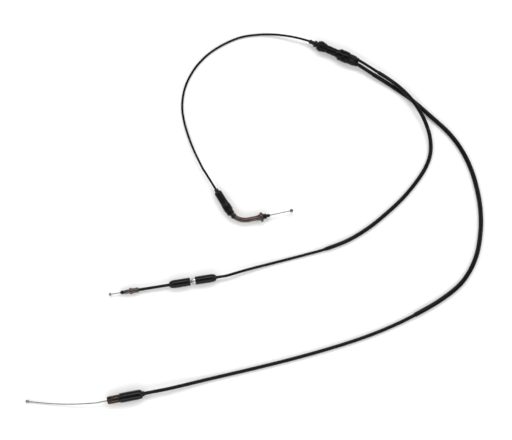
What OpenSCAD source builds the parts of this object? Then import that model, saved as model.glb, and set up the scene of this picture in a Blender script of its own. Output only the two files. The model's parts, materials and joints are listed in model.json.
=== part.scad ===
// Throttle cable set, one cable into two, laid flat on a bench.
// A short cable leaves a bent metal elbow, runs to a splitter, and from there
// a pump cable and a carburettor cable go on in loose plastic sleeves.

/* [Conduits] */
// Outer radius of the upper conduit
upper_r = 1.5; // [1.3:0.1:1.7]
// Outer radius of the pump conduit
pump_r = 1.9; // [1.7:0.1:2.0]
// Outer radius of the carburettor conduit
carb_r = 2.45; // [2.2:0.05:2.5]
// Outer radius of the short conduit behind the inline adjuster
tail_r = 2.0; // [1.8:0.1:2.2]
// Thickness of the plastic cover on every conduit
cover_t = 0.4; // [0.3:0.05:0.5]
// Outer radius of the pump sleeve
pump_sleeve_r = 2.75; // [2.6:0.05:2.8]
// Outer radius of the carburettor sleeve
carb_sleeve_r = 3.2; // [3.1:0.05:3.2]
// Thickness of the sleeves
sleeve_t = 0.5; // [0.3:0.05:0.5]

/* [Inner wires] */
// Radius of the wire in the upper and pump conduits
wire_r = 0.6; // [0.5:0.05:0.65]
// Radius of the wire in the carburettor conduit
carb_wire_r = 0.75; // [0.6:0.05:0.8]
// Length of bare wire at the twist grip
grip_wire_l = 27; // [24:1:40]
// Length of bare wire at the pump
pump_wire_l = 12; // [12:1:30]
// Wire drawn out of the elbow from where the set now lies
pull_out = 7; // [2:1:7]
// Wire drawn back into the elbow from where the set now lies
pull_in = 14; // [4:1:14]

/* [Elbow] */
// Outer radius of the bent tube
elbow_r = 3.25; // [3:0.05:3.4]
// Radius of the bend, at the middle of the tube
bend_r = 24.5; // [20:0.5:28]
// Angle that the tube turns through
bend_angle = 70; // [60:1:80]
// Straight length between the bend and the collar
neck_l = 15.5; // [15.5:0.5:20]
// Radius of the collar that stops against the grip housing
collar_r = 6.6; // [6:0.1:6.6]
// Thickness of the collar
collar_t = 3.6; // [2.5:0.1:4]
// Length of the rubber seal in front of the collar
seal_l = 10; // [8:0.5:12]
// Length of the boot over the grip end adjuster
grip_boot_l = 40; // [38:1:44]
// Largest radius of that boot
grip_boot_r = 6; // [5.8:0.1:6.4]

/* [Splitter] */
// Outer radius of the splitter's housing
housing_r = 5.3; // [5.2:0.1:5.6]
// Radius of the housing's bore
housing_bore_r = 4.3; // [4.2:0.05:4.4]
// Radius of the splitter's upper cap
upper_cap_r = 7.3; // [6.8:0.1:7.8]
// Radius of the splitter's lower cap
lower_cap_r = 8; // [7.2:0.1:8]
// Distance of each lower conduit from the splitter's axis
outlet_gap = 2.85; // [2.8:0.05:2.9]

/* [Inline adjuster and pump end] */
// Outer radius of the two boots on the inline adjuster
inline_boot_r = 5.6; // [5.3:0.1:5.8]
// Length of each of these boots
inline_boot_l = 29; // [27:1:30]
// Outer radius of the adjuster's barrel
barrel_r = 4.25; // [4:0.05:4.3]
// Outer radius of the adjusting threads
thread_r = 2.95; // [2.8:0.05:2.95]
// Radius of the pump ferrule's flange
flange_r = 4.4; // [4:0.1:5]
// Radius of the pump ferrule in front of its flange
pump_spigot_r = 2.7; // [2.5:0.1:3]

/* [Carburettor end] */
// Radius of the boot behind the carburettor ferrule
carb_boot_r = 6.7; // [6.2:0.1:6.7]
// Length of this boot
carb_boot_l = 34; // [32:1:36]
// Radius of the ferrule that plugs into the carburettor top
carb_ferrule_r = 5.4; // [5:0.1:5.8]
// Length of the ferrule in front of its boot
carb_ferrule_l = 17; // [15:1:20]

/* [Hidden] */
$fn = 48;
SIDES = 8;
STEPS = 2;
FIT = 0.05;

// Each fitting stands on an axis: where the axis starts, its heading and its slope
GRIP = [[-2, 11, 6.6], 122, 0];
SPLITTER = [[104.5, 243, 8.1], -23.5, 0];
PUMP = [[-21, -73.6, 6.5], 189.1, -0.9];
CARB = [[-119, -230, 6.7], 191, 0];
// The tube starts to bend this far inside the mouth of the boot
bend_z = 4.5;
BEND_CENTRE = on_axis(GRIP, bend_z) + bend_r * [cos(GRIP[1] - 90), sin(GRIP[1] - 90), 0];
NECK_HEADING = GRIP[1] - 180 + bend_angle;
BEND_END = BEND_CENTRE + bend_r * [cos(NECK_HEADING - 90), sin(NECK_HEADING - 90), 0];
NECK = [BEND_END + neck_l * [cos(NECK_HEADING), sin(NECK_HEADING), 0], NECK_HEADING, 0];

// Depth of the recess in the collar's face that holds the seal
recess_t = 0.6;

// Stations along the grip axis, from the mouth of the boot
nut_z = 9;
nut_h = 3;
grip_barrel_z = 12.6;
grip_socket_z = 25;
grip_conduit_z = 27;
grip_straight_z = 66;

// Stations along the splitter axis, from the first ring of its grommet
upper_end_z = 12;
slider_z = 22;
slider_l = 10;
housing_z = 13.1;
housing_end_z = 52;
lower_cap_z = 39;
outlet_z = 54;
lower_cap_end_z = 56;
grommet_end_z = 66;
ring_end_z = 69.5;

// Stations along the pump axis, from the round end of the first boot
front_boot_end_z = inline_boot_l + 1;
rear_boot_z = front_boot_end_z + 7;
pump_cap_z = 12;
barrel_z = 17;
screw_z = 24;
tail_z = 46;
pump_ferrule_z = 107;
flange_z = 116.5;
flange_t = 3;
spigot_end_z = 127;
pump_seal_l = 6;
pump_wire_z = 26;

// Stations along the carburettor axis, from the thin end of its boot
carb_end_z = 30;
carb_wire_z = 12;
carb_ferrule_end_z = carb_boot_l + carb_ferrule_l;

// Radii inside a conduit: the wound coil under the cover, and the coil's bore
function coil_r(conduit_r) = conduit_r - cover_t - FIT;
upper_bore = 0.85;
pump_bore = 0.9;
carb_bore = 1.1;
wire_hole_r = 0.95;
carb_hole_r = 1.25;

// A point on a fitting's axis, and to the left of it by side
function on_axis(axis, d, side = 0) =
    axis[0] + d * [cos(axis[1]) * cos(axis[2]), sin(axis[1]) * cos(axis[2]), sin(axis[2])]
    + side * [-sin(axis[1]), cos(axis[1]), 0];

// Each route starts and ends straight, on the axis of its fitting
UPPER_ROUTE = [
    on_axis(GRIP, grip_conduit_z), on_axis(GRIP, grip_straight_z), on_axis(GRIP, grip_straight_z + 8),
    [-53, 98, 4.6], [-61, 119, 2.6], [-66.5, 139, 1.6], [-68.5, 160, 1.6],
    [-64, 184, 1.6], [-52, 207, 1.6], [-35, 225.5, 1.6], [-14, 239.5, 1.6],
    [10, 249.6, 1.6], [34, 253.2, 2], [56, 253.2, 4.4], [76, 250.6, 7],
    [90, 247.6, 7.9], on_axis(SPLITTER, -3), on_axis(SPLITTER, 3), on_axis(SPLITTER, upper_end_z)
];
PUMP_ROUTE = [
    on_axis(SPLITTER, outlet_z, outlet_gap), on_axis(SPLITTER, 66, outlet_gap),
    on_axis(SPLITTER, 72, outlet_gap),
    [195.5, 201.9, 8.7], [209, 193.2, 9.3], [223, 182.8, 9.8], [237, 169.4, 9.9], [249, 153.4, 9.7],
    [259, 134.4, 8.2], [265.4, 114, 5.4], [266, 93, 3.2], [259, 73, 2.8], [245, 52, 2.8],
    [227, 31, 2.8], [206, 11.5, 2.8], [183, -7, 2.8], [155, -24, 2.8], [124, -36, 2.8],
    [98, -43.3, 2], [72, -50.1, 2], [48, -56.2, 2.8], [32, -60.2, 3.9], [16, -64.4, 5.2],
    [2, -68.5, 6.3], on_axis(PUMP, -12), on_axis(PUMP, -6), on_axis(PUMP, pump_cap_z + 6)
];
CARB_ROUTE = [
    on_axis(SPLITTER, outlet_z, -outlet_gap), on_axis(SPLITTER, 66, -outlet_gap),
    on_axis(SPLITTER, 72, -outlet_gap),
    [188.5, 199.5, 6.8], [205, 189.4, 4.8], [222, 178.4, 3.4], [242, 164.4, 3.2], [268, 141.7, 3.2],
    [290, 121.4, 3.2], [307, 99.5, 3.2], [320, 74, 3.2], [328.5, 46.5, 3.2], [333.5, 17, 3.2],
    [333.5, -14, 3.2], [327, -48, 3.2], [310, -79, 3.2], [282, -103, 3.2], [245, -124.7, 3.2],
    [215, -139.5, 2.5], [183, -152.5, 2.5], [150, -163.8, 2.5], [116, -174, 2.5],
    [82, -183.4, 2.5], [48, -192, 2.5], [14, -200.2, 2.5], [-20, -208.1, 2.6],
    [-46, -214.2, 3.8], [-68, -219.4, 5.6],
    on_axis(CARB, -32), on_axis(CARB, -24), on_axis(CARB, carb_end_z)
];
CARB_WIRE_ROUTE = [
    on_axis(CARB, carb_wire_z), on_axis(CARB, 58), on_axis(CARB, 66),
    [-196, -243.6, 6.2], [-213, -244.6, 4.7], [-232, -244.7, 3], [-252, -243.7, 2.1],
    [-270, -242, 1.9], [-275, -241.5, 1.9]
];

function unit(v) = v / norm(v);
function on_curve(a, b, c, d, t) =
    0.5 * (2 * b + (c - a) * t + (2 * a - 5 * b + 4 * c - d) * t * t + (3 * b - a - 3 * c + d) * t * t * t);
// Points on a smooth curve through every point of a route
function smooth(route) = let (last = len(route) - 1) [
    for (i = [0:last - 1]) for (k = [0:STEPS - 1])
        on_curve(route[max(i - 1, 0)], route[i], route[i + 1], route[min(i + 2, last)], k / STEPS),
    route[last]
];
function part_of(path, first, last) = [for (i = [first:last]) path[i]];
function tangent(path, i) = unit(path[min(i + 1, len(path) - 1)] - path[max(i - 1, 0)]);
function ring(centre, along, r) =
    let (side = unit(cross(along, [0, 0, 1])), up = cross(side, along))
    [for (k = [0:SIDES - 1]) let (a = 360 * (k + 0.5) / SIDES) centre + r * (cos(a) * side + sin(a) * up)];
function rings(path, r) = [for (i = [0:len(path) - 1]) each ring(path[i], tangent(path, i), r)];
function wall(count, base, inward) = [
    for (i = [0:count - 2]) for (k = [0:SIDES - 1])
        let (a = base + i * SIDES + k, b = base + i * SIDES + (k + 1) % SIDES, c = a + SIDES, d = b + SIDES)
            each (inward ? [[a, c, b], [b, c, d]] : [[a, b, c], [b, d, c]])
];
function rim(outer, inner, far) = [
    for (k = [0:SIDES - 1])
        let (a = outer + k, b = outer + (k + 1) % SIDES, c = inner + k, d = inner + (k + 1) % SIDES)
            each (far ? [[a, d, c], [a, b, d]] : [[a, c, d], [a, d, b]])
];

// A round wire along a path
module swept_wire(path, r) {
    count = len(path);
    near_end = [for (k = [SIDES - 1:-1:0]) k];
    far_end = [for (k = [0:SIDES - 1]) (count - 1) * SIDES + k];
    polyhedron(points = rings(path, r), faces = concat(wall(count, 0, false), [near_end, far_end]));
}

// A hollow tube along a path
module swept_tube(path, r, bore) {
    count = len(path);
    inner = count * SIDES;
    last = (count - 1) * SIDES;
    polyhedron(
        points = concat(rings(path, r), rings(path, bore)),
        faces = concat(
            wall(count, 0, false), wall(count, inner, true), rim(0, inner, false), rim(last, inner + last, true)
        )
    );
}

// Puts children on a fitting's axis, with their +Z along it
module place(axis) {
    translate(axis[0]) rotate([0, -axis[2], axis[1]]) rotate([0, 90, 0]) children();
}

// A round hole from one station to another
module bore(from, to, r, side = 0) {
    translate([0, side, from]) cylinder(r = r, h = to - from);
}

// A solid turned from the outline of its upper half: [station, radius] pairs
module turned(outline) {
    first = outline[0];
    last = outline[len(outline) - 1];
    rotate_extrude() polygon(concat([[0, first[0]]], [for (p = outline) [p[1], p[0]]], [[0, last[0]]]));
}

// A thin metal cup pressed on a conduit's end, its floor at the far side
module conduit_cap(from, to, conduit_r, thickness, hole, floor_t = 1) {
    difference() {
        bore(from, to, conduit_r + FIT + thickness);
        bore(from - 1, to - floor_t, conduit_r + FIT);
        bore(to - floor_t - 1, to + 1, hole);
    }
}

upper_path = smooth(UPPER_ROUTE);
pump_path = smooth(PUMP_ROUTE);
carb_path = smooth(CARB_ROUTE);
last_upper = len(upper_path) - 1;
last_pump = len(pump_path) - 1;
last_carb = len(carb_path) - 1;

// ---- Grip end ----

module grip_wire() {
    color("silver") place(NECK) bore(-1, collar_t + seal_l + grip_wire_l, wire_r);
}

module grip_nipple() {
    end_z = collar_t + seal_l + grip_wire_l;
    color("gainsboro") place(NECK) translate([0, 0, end_z + 2.4]) rotate([0, 90, 0]) difference() {
        cylinder(r = 2.4, h = 5, center = true);
        translate([0, 0, 2]) cylinder(r = 1.3, h = 2, center = true);
        translate([0, 0, -2]) cylinder(r = 1.3, h = 2, center = true);
    }
}

module elbow_seal() {
    z = collar_t;
    color("#202022") place(NECK) difference() {
        turned([
            [z - recess_t, 4.2], [z + 2, 4.3], [z + 2.8, 3.5], [z + 3.6, 3.6], [z + 5, 3.3],
            [z + 5.8, 2.5], [z + 6.6, 2.5], [z + 7.8, 2.1], [z + seal_l, 1.3]
        ]);
        bore(z - 1, z + seal_l + 1, wire_hole_r);
    }
}

module elbow_collar() {
    color("#6b5240") place(NECK) difference() {
        turned([[0, collar_r - 0.8], [0.6, collar_r], [collar_t - 0.6, collar_r], [collar_t, collar_r - 0.8]]);
        bore(-1, collar_t + 1, 1.9);
        bore(collar_t - recess_t, collar_t + 1, 4.4);
    }
}

// The bent tube, flared at the collar and threaded at its other end.
// The straight parts reach a little way into the bend, which is a touch thicker.
module elbow_tube() {
    color("#6b5240") difference() {
        union() {
            elbow_bend(elbow_r + 0.1);
            place(NECK) bore(-neck_l - 1, -5, elbow_r);
            place(NECK) translate([0, 0, -5]) cylinder(r1 = elbow_r, r2 = 4.4, h = 5);
            place(GRIP) bore(bend_z - 1, bend_z + 1.5, elbow_r);
            place(GRIP) bore(bend_z + 1, grip_barrel_z + 9.4, thread_r);
        }
        elbow_bend(1.9);
        place(NECK) bore(-neck_l - 1, 1, 1.8);
        place(GRIP) bore(bend_z - 1, grip_barrel_z + 10, 1.8);
    }
}

// A rod of radius r along the bend, between two of its angles
module elbow_bend(r, from = 0, to = bend_angle) {
    translate(BEND_CENTRE) rotate([0, 0, GRIP[1] + 90 + from]) rotate_extrude(angle = to - from)
        translate([bend_r, 0]) circle(r = r);
}

module elbow_dust_ring() {
    color("#202022") difference() {
        elbow_bend(4.1, 15, 23);
        elbow_bend(elbow_r + 0.2, 14, 24);
    }
}

module elbow_wire() {
    color("silver") union() {
        elbow_bend(wire_r + 0.05);
        place(NECK) bore(-neck_l - 1, -1 - pull_in - 0.5, wire_r);
        place(GRIP) bore(bend_z - 1, grip_socket_z - 1, wire_r);
    }
}

module grip_lock_nut() {
    color("silver") place(GRIP) difference() {
        translate([0, 0, nut_z]) cylinder(r = 4.05, h = nut_h, $fn = 6);
        bore(nut_z - 1, nut_z + nut_h + 1, thread_r + FIT);
    }
}

module grip_adjuster_barrel() {
    color("silver") place(GRIP) difference() {
        bore(grip_barrel_z, grip_socket_z + 3, 3.95);
        bore(grip_barrel_z - 1, grip_socket_z - 2, thread_r + FIT);
        bore(grip_socket_z - 3, grip_socket_z + 1, wire_hole_r);
        bore(grip_socket_z, grip_socket_z + 4, 2.55);
    }
}

// The cap's floor faces the barrel, so it is turned round
module grip_conduit_cap() {
    color("gainsboro") place(GRIP) difference() {
        bore(grip_socket_z + 0.1, grip_socket_z + 8, 2.5);
        bore(grip_conduit_z, grip_socket_z + 9, upper_r + FIT);
        bore(grip_socket_z, grip_conduit_z + 1, wire_hole_r);
    }
}

module grip_boot() {
    z = grip_boot_l;
    color("#1c1c1e") place(GRIP) difference() {
        turned([
            [0, 4.8], [0.6, 5], [5.5, 5.1], [7, 5.6], [9, grip_boot_r], [13, grip_boot_r - 0.1],
            [17, 5.5], [21, 5.15], [z - 6, 5.1], [z - 4.5, 4.7], [z - 3.5, 3.8], [z - 2.5, 2.9],
            [z, 2.6]
        ]);
        bore(-1, z - 7, 4.35);
        bore(z - 8, z + 1, upper_r + 0.2);
    }
}

module upper_conduit() {
    color("#17171a") swept_tube(upper_path, upper_r, upper_r - cover_t);
}

module upper_coil() {
    color("gray") swept_tube(upper_path, coil_r(upper_r), upper_bore);
}

// Stops short of the wires that slide at both ends
module upper_inner_wire() {
    color("silver") swept_wire(part_of(upper_path, 0, last_upper - 2 * STEPS), wire_r - 0.1);
}

// ---- Splitter ----

module splitter_grommet() {
    color("#1c1c1e") place(SPLITTER) difference() {
        turned([
            [-2, 2.3], [-1, 3], [1, 3], [2, 2.6], [5, 2.9], [5.6, 4.2], [6.4, 4.5], [8, 4.5],
            [8.8, 3.7], [10, 3.7]
        ]);
        bore(-3, 5, upper_r + 0.2);
        bore(4.9, 11, 2.45);
    }
}

module splitter_conduit_cap() {
    color("gainsboro") place(SPLITTER) conduit_cap(5, upper_end_z + 1, upper_r, 0.85, wire_hole_r);
}

module splitter_upper_cap() {
    color("#222225") place(SPLITTER) difference() {
        turned([
            [10, 5], [11, 6.2], [13.5, upper_cap_r], [17, upper_cap_r], [19, 6.7], [22, 6.2]
        ]);
        bore(9, 14, 2.45);
        bore(housing_z, 23, housing_r + FIT);
    }
}

module splitter_housing() {
    color("#2b2b2e") place(SPLITTER) difference() {
        bore(housing_z, housing_end_z, housing_r);
        bore(housing_z - 1, housing_end_z + 1, housing_bore_r);
    }
}

module splitter_slider() {
    color("khaki") place(SPLITTER) difference() {
        bore(slider_z, slider_z + slider_l, housing_bore_r - 0.1);
        bore(slider_z - 1, slider_z + slider_l + 1, wire_r + FIT);
        bore(slider_z + slider_l - 4, slider_z + slider_l + 1, 1.2);
        for (side = [-outlet_gap, outlet_gap]) {
            bore(slider_z - 1, slider_z + slider_l + 1, wire_r + FIT, side);
            bore(slider_z - 1, slider_z + 4, 1.15, side);
        }
    }
}

// The end of the upper wire and the starts of the two lower ones, with their nipples
module slider_wires() {
    color("silver") place(SPLITTER) {
        bore(4.5, slider_z + slider_l - 4, wire_r);
        bore(slider_z + slider_l - 4, slider_z + slider_l - 0.5, 1.1);
        for (side = [-outlet_gap, outlet_gap]) {
            bore(slider_z + 0.5, slider_z + 4, 1.1, side);
            bore(slider_z + 4, housing_end_z, wire_r, side);
        }
    }
}

module splitter_lower_cap() {
    z = lower_cap_z;
    color("#1c1c1e") place(SPLITTER) difference() {
        turned([
            [z, 6.2], [z + 1, 7.4], [z + 2.5, lower_cap_r], [z + 14, lower_cap_r],
            [z + 16, 7.3], [lower_cap_end_z, 6.8]
        ]);
        bore(z - 1, housing_end_z + 0.1, housing_r + FIT);
        for (side = [-outlet_gap, outlet_gap]) bore(housing_end_z, outlet_z, 1.2, side);
        bore(outlet_z - 1, lower_cap_end_z + 1, pump_r + 0.5, outlet_gap);
        bore(outlet_z - 1, lower_cap_end_z + 1, carb_r + 0.5, -outlet_gap);
    }
}

// A cap turned the other way round, with its floor towards the splitter
module outlet_cap(conduit_r, side) {
    place(SPLITTER) difference() {
        bore(outlet_z - 1, outlet_z + 6, conduit_r + 0.45, side);
        bore(outlet_z, outlet_z + 7, conduit_r + FIT, side);
        bore(outlet_z - 2, outlet_z + 1, wire_hole_r, side);
    }
}

module pump_outlet_cap() {
    color("gainsboro") outlet_cap(pump_r, outlet_gap);
}

module carb_outlet_cap() {
    color("gainsboro") outlet_cap(carb_r, -outlet_gap);
}

module outlet_grommet() {
    z = lower_cap_end_z;
    color("#1c1c1e") place(SPLITTER) difference() {
        union() {
            bore(z, grommet_end_z, 4, outlet_gap);
            bore(z, grommet_end_z, 4.3, -outlet_gap);
        }
        bore(z - 1, outlet_z + 6.1, pump_r + 0.5, outlet_gap);
        bore(z - 1, outlet_z + 6.1, carb_r + 0.5, -outlet_gap);
        bore(z, grommet_end_z + 1, pump_r + 0.1, outlet_gap);
        bore(z, grommet_end_z + 1, carb_r + 0.1, -outlet_gap);
    }
}

module outlet_ring() {
    color("#28282b") place(SPLITTER) difference() {
        union() {
            bore(grommet_end_z, ring_end_z, pump_r + 1.1, outlet_gap);
            bore(grommet_end_z, ring_end_z, carb_r + 0.9, -outlet_gap);
            translate([-2.2, -outlet_gap, grommet_end_z]) cube([4.4, 2 * outlet_gap, ring_end_z - grommet_end_z]);
        }
        bore(grommet_end_z - 1, ring_end_z + 1, pump_r + 0.3, outlet_gap);
        bore(grommet_end_z - 1, ring_end_z + 1, carb_r + 0.3, -outlet_gap);
    }
}

// ---- Pump branch ----

module pump_conduit() {
    color("#17171a") swept_tube(pump_path, pump_r, pump_r - cover_t);
}

module pump_coil() {
    color("gray") swept_tube(pump_path, coil_r(pump_r), pump_bore);
}

module pump_inner_wire() {
    color("silver") swept_wire(part_of(pump_path, 2 * STEPS, last_pump), wire_r - 0.1);
}

module pump_sleeve() {
    color("#202022") swept_tube(part_of(pump_path, 3 * STEPS, 17 * STEPS), pump_sleeve_r, pump_sleeve_r - sleeve_t);
}

module adjuster_conduit_cap() {
    color("gainsboro") place(PUMP) conduit_cap(pump_cap_z, pump_cap_z + 7, pump_r, 0.7, wire_hole_r);
}

module adjuster_barrel() {
    screw_end = pump_cap_z + 9;
    color("silver") place(PUMP) difference() {
        bore(barrel_z, front_boot_end_z + 4, barrel_r);
        bore(barrel_z - 1, pump_cap_z + 7.1, pump_r + 0.7 + 2 * FIT);
        bore(pump_cap_z + 7, screw_end + 1, wire_hole_r);
        bore(screw_end, front_boot_end_z + 5, thread_r + FIT);
    }
}

module adjuster_screw() {
    color("gainsboro") place(PUMP) difference() {
        union() {
            bore(screw_z, tail_z, thread_r);
            bore(tail_z, tail_z + 6, 3.4);
        }
        bore(screw_z - 1, tail_z + 1, wire_hole_r);
        bore(tail_z, tail_z + 7, tail_r + FIT);
    }
}

module adjuster_lock_nut() {
    color("silver") place(PUMP) difference() {
        translate([0, 0, front_boot_end_z + 4.3]) cylinder(r = 4.4, h = 3, $fn = 6);
        bore(front_boot_end_z + 3, front_boot_end_z + 9, thread_r + FIT);
    }
}

// A bullet-shaped rubber cover with its open flat end at z = 0
module bullet_boot(length, r, cavity_r, neck_r) {
    difference() {
        turned([
            [0, r - 0.3], [0.4, r], [length - 9, r], [length - 5.5, r * 0.94], [length - 3, r * 0.8],
            [length - 1.2, r * 0.6], [length, neck_r + 0.7]
        ]);
        bore(-1, length - 6, cavity_r);
        bore(length - 7, length + 1, neck_r);
    }
}

module adjuster_front_boot() {
    color("#1c1c1e") place(PUMP) translate([0, 0, front_boot_end_z]) rotate([180, 0, 0])
        bullet_boot(inline_boot_l, inline_boot_r, 4.65, pump_r + 0.2);
}

module adjuster_rear_boot() {
    color("#1c1c1e") place(PUMP) translate([0, 0, rear_boot_z])
        bullet_boot(inline_boot_l, inline_boot_r, 4.65, tail_r + 0.2);
}

module tail_conduit() {
    color("#17171a") place(PUMP) difference() {
        bore(tail_z + 1, flange_z + 1, tail_r);
        bore(tail_z, flange_z + 2, tail_r - cover_t);
    }
}

module tail_coil() {
    color("gray") place(PUMP) difference() {
        bore(tail_z + 1, flange_z + 1, coil_r(tail_r));
        bore(tail_z, flange_z + 2, wire_hole_r);
    }
}

module pump_ferrule() {
    color("peru") place(PUMP) difference() {
        turned([
            [pump_ferrule_z, 2.9], [pump_ferrule_z + 0.6, 3.4], [flange_z, 3.4], [flange_z, flange_r],
            [flange_z + flange_t, flange_r], [flange_z + flange_t, pump_spigot_r],
            [spigot_end_z - 0.5, pump_spigot_r], [spigot_end_z, pump_spigot_r - 0.4]
        ]);
        bore(pump_ferrule_z - 1, flange_z + 1, tail_r + FIT);
        bore(flange_z, spigot_end_z + 1, wire_hole_r);
    }
}

module pump_seal() {
    z = spigot_end_z;
    color("#202022") place(PUMP) difference() {
        turned([[z, 2.2], [z + 1, 2.6], [z + 2.5, 2.6], [z + 4, 1.9], [z + pump_seal_l, 1.3]]);
        bore(z - 1, z + pump_seal_l + 1, wire_hole_r);
    }
}

module pump_wire() {
    color("silver") place(PUMP) bore(pump_wire_z, spigot_end_z + pump_seal_l + pump_wire_l, wire_r);
}

module pump_nipple() {
    z = spigot_end_z + pump_seal_l + pump_wire_l;
    color("gainsboro") place(PUMP) turned([[z, 1.8], [z + 0.4, 2.1], [z + 1.4, 2.1], [z + 2.5, 1.6], [z + 3.2, 0.8]]);
}

// ---- Carburettor branch ----

module carb_conduit() {
    color("#17171a") swept_tube(carb_path, carb_r, carb_r - cover_t);
}

module carb_coil() {
    color("gray") swept_tube(carb_path, coil_r(carb_r), carb_bore);
}

module carb_inner_wire() {
    color("silver") swept_wire(part_of(carb_path, 2 * STEPS, last_carb - 1), carb_wire_r - 0.1);
}

module carb_sleeve() {
    color("#202022") swept_tube(part_of(carb_path, 3 * STEPS, 17 * STEPS), carb_sleeve_r, carb_sleeve_r - sleeve_t);
}

module carb_conduit_cap() {
    color("gainsboro") place(CARB) conduit_cap(18, carb_end_z + 1, carb_r, 0.6, carb_hole_r);
}

module carb_ferrule() {
    end = carb_ferrule_end_z;
    color("peru") place(CARB) difference() {
        turned([
            [16, 4.2], [carb_boot_l + 0.3, 4.2], [carb_boot_l + 0.3, carb_ferrule_r],
            [end - 1, carb_ferrule_r], [end, carb_ferrule_r - 1]
        ]);
        bore(15, carb_end_z + 1.1, carb_r + 0.7);
        bore(carb_end_z, end + 1, carb_hole_r);
    }
}

module carb_boot() {
    color("#1c1c1e") place(CARB) difference() {
        turned([
            [0, carb_r + 0.8], [1, 3.6], [3, 4], [5, 5.6], [6.5, 6.4], [8, carb_boot_r],
            [carb_boot_l - 0.5, carb_boot_r], [carb_boot_l, carb_boot_r - 0.5]
        ]);
        bore(-1, 9, carb_r + 0.2);
        bore(8, carb_boot_l + 1, 4.5);
    }
}

module carb_wire() {
    color("silver") swept_wire(smooth(CARB_WIRE_ROUTE), carb_wire_r);
}

module carb_nipple() {
    last = CARB_WIRE_ROUTE[len(CARB_WIRE_ROUTE) - 1];
    color("gainsboro") translate(last) rotate([0, 0, 174.3]) rotate([0, 90, 0])
        turned([[0, 1.3], [0.5, 1.8], [4, 1.8], [4.6, 1.1]]);
}

grip_nipple();
grip_wire();
elbow_seal();
elbow_collar();
elbow_tube();
elbow_dust_ring();
elbow_wire();
grip_lock_nut();
grip_adjuster_barrel();
grip_conduit_cap();
grip_boot();
upper_conduit();
upper_coil();
upper_inner_wire();
splitter_grommet();
splitter_conduit_cap();
splitter_upper_cap();
splitter_housing();
splitter_slider();
slider_wires();
splitter_lower_cap();
pump_outlet_cap();
carb_outlet_cap();
outlet_grommet();
outlet_ring();
pump_conduit();
pump_coil();
pump_inner_wire();
pump_sleeve();
adjuster_conduit_cap();
adjuster_barrel();
adjuster_screw();
adjuster_lock_nut();
adjuster_front_boot();
adjuster_rear_boot();
tail_conduit();
tail_coil();
pump_ferrule();
pump_seal();
pump_wire();
pump_nipple();
carb_conduit();
carb_coil();
carb_inner_wire();
carb_sleeve();
carb_conduit_cap();
carb_ferrule();
carb_boot();
carb_wire();
carb_nipple();
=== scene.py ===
# %% [markdown]
# # A throttle cable set in Blender
# This object is a set of Bowden cables for a small motorcycle: one short cable from the twist grip
# runs into a splitter, and from there a cable goes on to the oil pump and a longer one to the carburettor.
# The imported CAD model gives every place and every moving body. This lesson builds the looks on it:
# first the camera and the cables, then the turned fittings, then the finishes.

# %% Load the fixed frame
import json
import math

import bpy
from mathutils import Matrix, Vector


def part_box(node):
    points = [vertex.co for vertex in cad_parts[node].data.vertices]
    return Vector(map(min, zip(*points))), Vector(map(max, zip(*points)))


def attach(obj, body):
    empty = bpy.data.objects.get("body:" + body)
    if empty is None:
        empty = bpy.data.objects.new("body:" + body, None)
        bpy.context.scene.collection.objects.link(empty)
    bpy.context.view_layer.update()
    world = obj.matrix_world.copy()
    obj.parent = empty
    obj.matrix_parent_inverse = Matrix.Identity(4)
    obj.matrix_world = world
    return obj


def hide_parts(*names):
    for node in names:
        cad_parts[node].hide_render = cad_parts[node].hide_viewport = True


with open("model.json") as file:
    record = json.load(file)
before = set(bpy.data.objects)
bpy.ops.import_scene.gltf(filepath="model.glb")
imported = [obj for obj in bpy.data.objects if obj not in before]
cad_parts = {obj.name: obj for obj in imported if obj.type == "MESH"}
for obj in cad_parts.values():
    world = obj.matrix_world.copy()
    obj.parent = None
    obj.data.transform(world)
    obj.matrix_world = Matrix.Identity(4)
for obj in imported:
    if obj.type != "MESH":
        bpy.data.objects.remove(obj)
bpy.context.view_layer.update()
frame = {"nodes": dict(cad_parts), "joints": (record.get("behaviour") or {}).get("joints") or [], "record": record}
record = frame["record"]
bpy.ops.object.select_all(action="DESELECT")

# %% [markdown]
# Lengths are easier to read in millimetres on a cable this thin, so `MM` turns them into metres.
# Each fitting is turned round an axis. The record's joints and mounts state those axes, so the
# pieces are placed from them: `axis_from` steps back along a stated axis to its first station.

# %% The five axes of the fittings
MM = 0.001


def stated(kind, name):
    rows = record["mounts"] if kind == "mount" else frame["joints"]
    row = next(r for r in rows if r["name"] == name)
    return Vector(row["pos_m"]), Vector(row["axis"]).normalized()


def axis_from(kind, name, station):
    """A matrix that puts station 0 of an upright piece at its place, with +Z along the axis."""
    point, along = stated(kind, name)
    side = Vector((0, 0, 1)).cross(along).normalized()
    up = along.cross(side)
    start = point - along * station * MM
    return Matrix.Translation(start) @ Matrix((-up, side, along)).transposed().to_4x4()


GRIP = axis_from("joint", "grip_adjuster_turn", 18)
NECK = axis_from("mount", "collar_face", 3.6)
SPLITTER = axis_from("mount", "splitter_clip_seat", 30)
PUMP = axis_from("mount", "pump_flange_face", 119.5)
CARB = axis_from("mount", "carb_spigot", 42)


def on_axis(axis, station, side=0.0):
    return axis @ Vector((0, side * MM, station * MM))


print("grip axis starts at", [round(c, 4) for c in on_axis(GRIP, 0)])

# %% [markdown]
# ## Camera and light
# The set lies on a bench and is seen from straight above. A long lens far away keeps the view
# nearly parallel, so the tall splitter isn't seen from the side at the edge of the frame.

# %% Camera
IMAGE_W, IMAGE_H = 512, 440
VIEW_W = 0.691
VIEW_CENTRE = (0.031, 0.0034)
CAMERA_H = 2.4

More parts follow.
